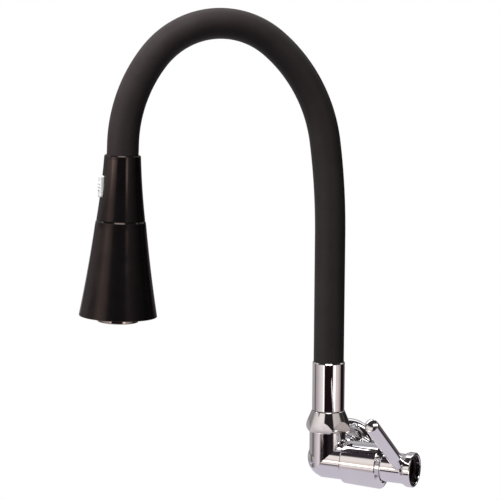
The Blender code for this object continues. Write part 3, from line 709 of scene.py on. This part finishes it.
def make_elbow():
    """Riser and branch meeting in a mitre, with a ball rounding the outside of the corner."""
    sides, top, end = 128, 21.7, 40.0
    tube = [(BODY_R * x, BODY_R * y) for x, y in circle(sides)]
    sections = ([(reach, side, top) for reach, side in tube], [(reach, side, reach) for reach, side in tube],
                [(end, side, reach) for reach, side in tube])
    bm = bmesh.new()
    rings = [[bm.verts.new((x * MM, y * MM, z * MM)) for x, y, z in section] for section in sections]
    skin(bm, rings)
    bm.faces.new(rings[0])
    bm.faces.new(rings[-1])
    bmesh.ops.recalc_face_normals(bm, faces=bm.faces)
    elbow = object_from(bm, "valve_elbow", RISER)
    ball_arc = [(BALL_R * sin(radians(3 * k)), BALL_R * cos(radians(3 * k))) for k in range(61)]
    ball_arc[0], ball_arc[-1] = (0.0, BALL_R), (0.0, -BALL_R)
    squeeze = Matrix.Diagonal((1, BALL_SQUEEZE, 1, 1))
    ball_place = (RISER @ Matrix.Translation((0, 0, BALL_LIFT * MM)) @ squeeze
                  @ Matrix.Rotation(pi / 2, 4, "X"))
    corner = box_object("corner", (30, 60, 30), (-18, 0, -20), RISER)
    apply_boolean(corner, revolve("ball", ball_arc, ball_place, 120), "DIFFERENCE")
    apply_boolean(elbow, corner, "DIFFERENCE")
    apply_boolean(elbow, revolve("ball", ball_arc, ball_place, 120), "UNION")
    riser_top = fillet([(0, NECK_TOP), (NECK_R, NECK_TOP), (NECK_R, RISER_TOP + 0.5),
                        (BODY_R, RISER_TOP), (BODY_R, 12.0), (0, 12.0)], {1: 0.6, 3: 0.5})
    inlet = fillet([(0, NIPPLE_END), (NIPPLE_R, NIPPLE_END), (NIPPLE_R, -4.0), (INLET_R, -4.0),
                    (INLET_R, -WALL_TO_RISER), (0, -WALL_TO_RISER)], {1: 0.8})
    apply_boolean(elbow, revolve("riser_top", riser_top, RISER, 128), "UNION")
    apply_boolean(elbow, revolve("inlet", inlet, WALL, 128, 0.01), "UNION")
    bores = [
        (RISER, [(0, 35), (9.0, 35), (9.0, 10), (6.0, 8), (6.0, -4), (0, -4)]),
        (BRANCH, [(0, 50), (12.0, 50), (12.0, 12), (5.0, 12), (5.0, 1), (0, 1)]),
        (WALL, [(0, 16), (6.5, 16), (6.5, -WALL_TO_RISER), (0, -WALL_TO_RISER)]),
        (BRANCH, [(0, 60), (30, 60), (30, 34), (0, 34)]),            # squares off the branch's end
    ]
    for k, (matrix, profile) in enumerate(bores):
        apply_boolean(elbow, revolve("bore", profile, matrix, 96, 0.005 * k), "DIFFERENCE")
    cylinder_z = (RISER, [(BODY_R, 40), (BODY_R, -20)])
    cylinder_x = (BRANCH, [(BODY_R, 60), (BODY_R, -20)])
    true_normals(elbow, [cylinder_z, cylinder_x, (RISER, riser_top), (WALL, inlet),
                         (ball_place, ball_arc), *bores])
    finish_piece(elbow, "valve", "chrome", "valve_body")


def make_flange():
    step = radians(7.5)
    width = FLANGE_R - FLANGE_NECK_R
    dome = [(FLANGE_NECK_R + width * cos(step * k), FLANGE_EDGE - DOME_RISE * sin(step * k))
            for k in range(1, 13)]
    profile = fillet([(FLANGE_R, 0), (FLANGE_R, FLANGE_EDGE), *dome, (FLANGE_NECK_R, FLANGE_FRONT),
                      (INLET_R + GAP, FLANGE_FRONT), (INLET_R + GAP, 0)], {0: 0.5, 14: 0.5})
    flange = revolve("wall_flange_dome", profile, WALL, 144)
    round_smooth(flange)
    finish_piece(flange, "valve", "chrome", "wall_flange")


def make_swivel_nut():
    cone = [(0, NUT_TOP), (13.2, NUT_TOP), (13.45, 41.0), (19.25, 27.2), (19.0, 26.6),
            (17.6, NUT_BOTTOM), (0, NUT_BOTTOM)]
    bore = [(0, 43), (10.4, 43), (10.4, 37.4), (13.6, 37.4), (13.6, 23), (0, 23)]
    nut = prism("swivel_nut_hex", NUT_FLAT_R, NUT_BOTTOM, NUT_TOP, RISER, NUT_TURN)
    apply_boolean(nut, revolve("cone", cone, RISER, 144), "INTERSECT")
    apply_boolean(nut, revolve("bore", bore, RISER, 96), "DIFFERENCE")
    true_normals(nut, [(RISER, cone), (RISER, bore)], crease=12.0)
    finish_piece(nut, "valve", "chrome", "swivel_nut")


def make_bonnet_nut():
    shoulder, pocket, pocket_r = 36.9, 43.6, 12.6
    outline = [(13.4, COLLAR_END), (18.1, 48.6), (COLLAR_END_R, 47.9), (COLLAR_R, 18.0),
               (16.8, COLLAR_START), (15.4, COLLAR_START), (15.4, shoulder), (9.9, shoulder),
               (9.9, pocket), (pocket_r, pocket), (pocket_r, 50.0)]
    profile = fillet(outline, {0: 0.3, 1: 0.25, 2: 0.4, 3: 0.5, 4: 0.4})
    nut = revolve("bonnet_nut_collar", profile, BRANCH, 144)
    round_smooth(nut)
    finish_piece(nut, "valve", "chrome", "bonnet_nut")


# ---------------------------------------------------------------- lever

def make_hub():
    outline = [(FLARE_R + 0.2, HUB_END), (RIM_R - 0.6, HUB_END), (RIM_R, 75.8), (RIM_R, 71.2),
               (13.2, 69.6), (HUB_R, 67.4), (HUB_R, 46.4), (11.4, HUB_START), (5.3, HUB_START),
               (5.3, 46.8), (4.5, 46.8), (4.5, 58.4), (2.1, 58.4), (2.1, 59.0), (4.6, 59.0),
               (4.6, MOUTH_BOTTOM), (MOUTH_R, MOUTH_BOTTOM), (MOUTH_R, 72.0), (FLARE_R, 72.8),
               (FLARE_R, 75.9)]
    radii = {0: 0.2, 1: 0.4, 2: 0.4, 3: 1.0, 5: 2.0, 6: 0.4, 7: 0.4, 15: 0.3, 17: 0.5, 18: 0.4, 19: 0.3}
    profile = fillet(outline, radii, 5)
    hub = revolve("handle_hub_barrel", profile, BRANCH, 144)
    wide, narrow, bottom = LEVER_R + GAP, LEVER_SHANK_R + GAP, LEVER_ROOT - GAP
    hole = [(0, 20), (wide, 20), (wide, LEVER_SEAT), (narrow, LEVER_SEAT), (narrow, bottom), (0, bottom)]
    apply_boolean(hub, revolve("hole", hole, PIN, 96), "DIFFERENCE")
    true_normals(hub, [(BRANCH, profile), (PIN, hole)])
    finish_piece(hub, "lever", "hub_chrome", "handle_hub")


def make_lever():
    arc, bulge = 40, 6.0
    dome = [(LEVER_R * sin(radians(a)) / sin(radians(arc)), LEVER_TIP - bulge * (1 - cos(radians(a))))
            for a in range(0, arc + 1, 8)]
    shoulder = LEVER_SEAT + GAP
    shank = [(LEVER_R, shoulder), (LEVER_SHANK_R, shoulder), (LEVER_SHANK_R, LEVER_ROOT),
             (0, LEVER_ROOT)]
    profile = fillet([*dome, *shank], {5: 1.2, 6: 0.4, 8: 0.4}, 6)
    pin = revolve("lever_rod", profile, PIN, 96)
    round_smooth(pin)
    finish_piece(pin, "lever", "chrome", "lever_pin")


def make_hub_screw():
    profile = fillet([(0, 63.0), (4.2, 63.0), (4.2, 59.3), (1.7, 59.3), (1.7, 51.0), (0, 51.0)], {1: 0.5})
    screw = revolve("hub_socket_screw", profile, BRANCH, 64)
    apply_boolean(screw, prism("socket", 2.0, 60.6, 64.0, BRANCH), "DIFFERENCE")
    true_normals(screw, [(BRANCH, profile)])
    finish_piece(screw, "lever", "steel", "hub_screw")


# ---------------------------------------------------------------- spout

def make_ferrule():
    foot_bore, foot_top, bore = 10.3, 46.3, 12.62
    outline = [(12.4, 81.1), (12.45, FERRULE_TOP), (FERRULE_R, 80.6), (FERRULE_R, 42.0),
               (12.75, FERRULE_BOTTOM), (foot_bore, FERRULE_BOTTOM), (foot_bore, foot_top), (bore, foot_top)]
    ferrule = revolve("ferrule_sleeve", fillet(outline, {1: 0.06, 2: 0.3, 3: 0.3, 4: 0.2}), SPOUT, 144)
    round_smooth(ferrule)
    finish_piece(ferrule, "spout", "chrome", "ferrule")


def sleeve_radius(length):
    return SLEEVE_R - APEX_THIN * cos(min(pi / 2, abs(length - APEX) / APEX_SPREAD * pi / 2))


def sleeve_piece(name, start, end, flex, nodes):
    """One stretch of the hose, following the route's bends."""
    sides, spacing = 72, 1.6
    count = round((end - start) / spacing)
    stops = [start + (end - start) * k / count for k in range(count + 1)]
    bm = bmesh.new()
    walls = []
    for inner in (False, True):
        rings = []
        for length in stops:
            centre, heading = along(length)
            radius = SLEEVE_BORE if inner else sleeve_radius(length)
            sideways = Vector((cos(heading), 0, -sin(heading)))
            rings.append([bm.verts.new((centre + sideways * radius * x + Vector((0, radius * y, 0))) * MM)
                          for x, y in circle(sides)])
        skin(bm, rings)
        walls.append(rings)
    for which in (0, -1):
        skin(bm, [walls[0][which], walls[1][which]])
    bmesh.ops.recalc_face_normals(bm, faces=bm.faces)
    sleeve = object_from(bm, name, SPOUT)
    mesh = sleeve.data
    mesh.shade_smooth()
    mesh.set_sharp_from_angle(angle=radians(50))
    mesh.materials.append(look("silicone"))
    centre, heading = along(flex)
    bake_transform(sleeve)
    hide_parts(*nodes)


def make_sleeves():
    low_cut, high_cut = 150.0, 318.0
    sleeve_piece("hose_rising", -11.0, low_cut, FLEX_LOW,
                 ("gooseneck_sleeve_low", "gooseneck_sleeve_rise"))
    sleeve_piece("hose_crown", low_cut, high_cut, FLEX_CROWN,
                 ("gooseneck_sleeve_crown",))
    sleeve_piece("hose_dropping", high_cut, ROUTE_END + 3.5, FLEX_DROP,
                 ("gooseneck_sleeve_drop",))


# ---------------------------------------------------------------- spray head

def grip_radius(down):
    return HEAD_TOP_R + 0.0525 * down + 0.00085 * down * down


def cone_radius(down):
    below = down - SEAM
    return LIP_R + 0.1155 * below + 0.00044 * below * below


def shell_outline(radius_at, top, bottom, count=24):
    """Outer wall from top to bottom, and inner wall back up."""
    heights = [top + (bottom - top) * k / count for k in range(count + 1)]
    return ([(radius_at(t), -t) for t in heights],
            [(radius_at(t) - SHELL, -t) for t in reversed(heights)])


def make_grip():
    collar_r, ledge = 12.62, 5.6
    outside, inside = shell_outline(grip_radius, 1.1, SEAM - GAP)
    rim = fillet([(collar_r, -5.0), (collar_r, 0.0), (HEAD_TOP_R - 0.55, 0.0), (HEAD_TOP_R, -0.85),
                  (grip_radius(1.6), -1.6)], {1: 0.2, 2: 0.15, 3: 0.3}, 6)
    inside[-1] = (grip_radius(ledge) - SHELL, -ledge)
    inside = [point for point in inside if point[1] <= -ledge]
    profile = rim[:-1] + outside[1:] + inside
    grip = revolve("grip_barrel", profile, HEAD, 144)
    opening = (12.0, BUTTON_WIDE + 2 * GAP, BUTTON_LONG + 2 * GAP)
    apply_boolean(grip, box_object("slot", opening, (17.0, 0, -BUTTON_T), HEAD, 1.2), "DIFFERENCE")
    true_normals(grip, [(HEAD, profile)])
    finish_piece(grip, "head", "gloss_black", "grip_shell")


def make_cone():
    outside, inside = shell_outline(cone_radius, SEAM + 1.0, HEAD_LENGTH - 1.0)
    lip = fillet([(LIP_R - SHELL, -SEAM), (LIP_R - 0.8, -SEAM), (LIP_R + 0.02, -SEAM - 1.2), outside[1]],
                 {1: 0.15, 2: 0.3}, 6)
    edge = fillet([outside[-1], (cone_radius(HEAD_LENGTH), -HEAD_LENGTH),
                   (cone_radius(HEAD_LENGTH) - SHELL, -HEAD_LENGTH)], {1: 0.7}, 6)
    cone = revolve("cone_bell", lip[:-1] + outside[1:] + edge[1:] + inside, HEAD, 160)
    round_smooth(cone)
    finish_piece(cone, "head", "gloss_black", "cone_shell")


def make_button():
    """Jet selector: a crowned oblong key with three raised finger ribs."""
    depth, rib_pitch = 3.6, 2.4
    button = box_object("selector_key", (depth, BUTTON_WIDE, BUTTON_LONG),
                        (BUTTON_FACE - depth / 2, 0, -BUTTON_T), HEAD, 1.3, 6)
    for k in (-1, 0, 1):
        place = (BUTTON_FACE + 0.1, 0, -BUTTON_T + rib_pitch * k)
        rib = box_object("rib", (1.0, 5.4, 0.9), place, HEAD, 0.3, 3)
        apply_boolean(button, rib, "UNION")
    round_smooth(button, 40)
    finish_piece(button, "button", "button", "diverter_button")


def make_spray_face():
    plate = revolve("spray_disc", fillet([
        (16.7, -119.6), (26.4, -119.6), (26.4, -122.2), (25.6, -122.8), (16.7, -122.8)],
        {1: 0.2, 3: 0.3, 4: 0.3}), HEAD, 144)
    round_smooth(plate)
    finish_piece(plate, "head", "gloss_black", "spray_plate")
    make_nubs()
    ring = revolve("nozzle_collar", fillet([
        (16.0, -113.0), (16.0, -NOZZLE_BOTTOM), (12.4, -NOZZLE_BOTTOM), (11.6, 1.2 - NOZZLE_BOTTOM),
        (11.6, -113.0)], {1: 0.8, 2: 0.5, 3: 0.4}, 5), HEAD, 144)
    round_smooth(ring)
    # The ring's darker colour is painted shade under the head.
    finish_piece(ring, "head", "nozzle_chrome_painted_dark", "nozzle_ring")
    housing = revolve("aerator_cup", fillet([
        (11.3, -112.0), (11.3, -127.0), (9.6, -127.0), (9.6, -116.0), (4.0, -114.0), (4.0, -112.0)],
        {1: 0.3, 2: 0.3}), HEAD, 96)
    round_smooth(housing)
    finish_piece(housing, "head", "white_plastic", "aerator_housing")
    disc = fillet([(0, -124.6), (9.3, -124.6), (9.3, -126.2), (0, -126.5)], {2: 0.3})
    screen = revolve("aerator_mesh", disc, HEAD, 96)
    round_smooth(screen)
    finish_piece(screen, "head", "screen", "aerator_screen")


def make_nubs():
    """Two rings of rubber spray nipples standing out of the spray disc."""
    sides = 12
    outline = [(0, -124.1), (0.45, -124.1), (0.8, -122.9), (1.15, -122.5), (0, -122.5)]
    outline = fillet(outline, {1: 0.15}, 2)
    bm = bmesh.new()
    for ring_r, count, shift in ((19.2, 20, 0.0), (23.2, 26, 0.5)):
        for k in range(count):
            angle = 2 * pi * (k + shift) / count
            centre = (ring_r * cos(angle), ring_r * sin(angle))
            skin(bm, turned_rings(bm, outline, circle(sides), centre))
    bmesh.ops.recalc_face_normals(bm, faces=bm.faces)
    nubs = object_from(bm, "spray_nipples", HEAD)
    round_smooth(nubs, 40)
    nubs.data.materials.append(look("nub_rubber"))
    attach(nubs, "head")


# ---------------------------------------------------------------- CAD nodes that stay

KEPT = {
    "rubber": ("inlet_washer", "cartridge_seal", "stem_oring", "spigot_oring_lower", "spigot_oring_upper",
               "fitting_washer", "plate_seal"),
    "ceramic": ("ceramic_disc_fixed", "ceramic_disc_turning"),
    "white_plastic": ("cartridge_housing", "slip_ring", "head_waterway", "water_tube_low", "water_tube_rise",
                      "water_tube_crown", "water_tube_drop"),
    "brass": ("cartridge_stem", "spout_spigot", "head_fitting", "diverter_spool"),
    "steel": ("gooseneck_core_low", "gooseneck_core_rise", "gooseneck_core_crown", "gooseneck_core_drop",
              "button_spring"),
}


def paint_kept_nodes():
    for name, nodes in KEPT.items():
        for node in nodes:
            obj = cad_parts[node]
            for slot in obj.material_slots:
                slot.material = look(name)


make_camera()
make_world()
make_floor()
make_light("top_soft", (-0.4, -0.8, 1.6), (-0.05, -0.1, 0.2), 0.9, 0.9, 48.0)
make_elbow()
make_flange()
make_swivel_nut()
make_bonnet_nut()
make_hub()
make_lever()
make_hub_screw()
make_ferrule()
make_sleeves()
make_grip()
make_cone()
make_button()
make_spray_face()
paint_kept_nodes()
bpy.context.scene.view_settings.view_transform = "Standard"
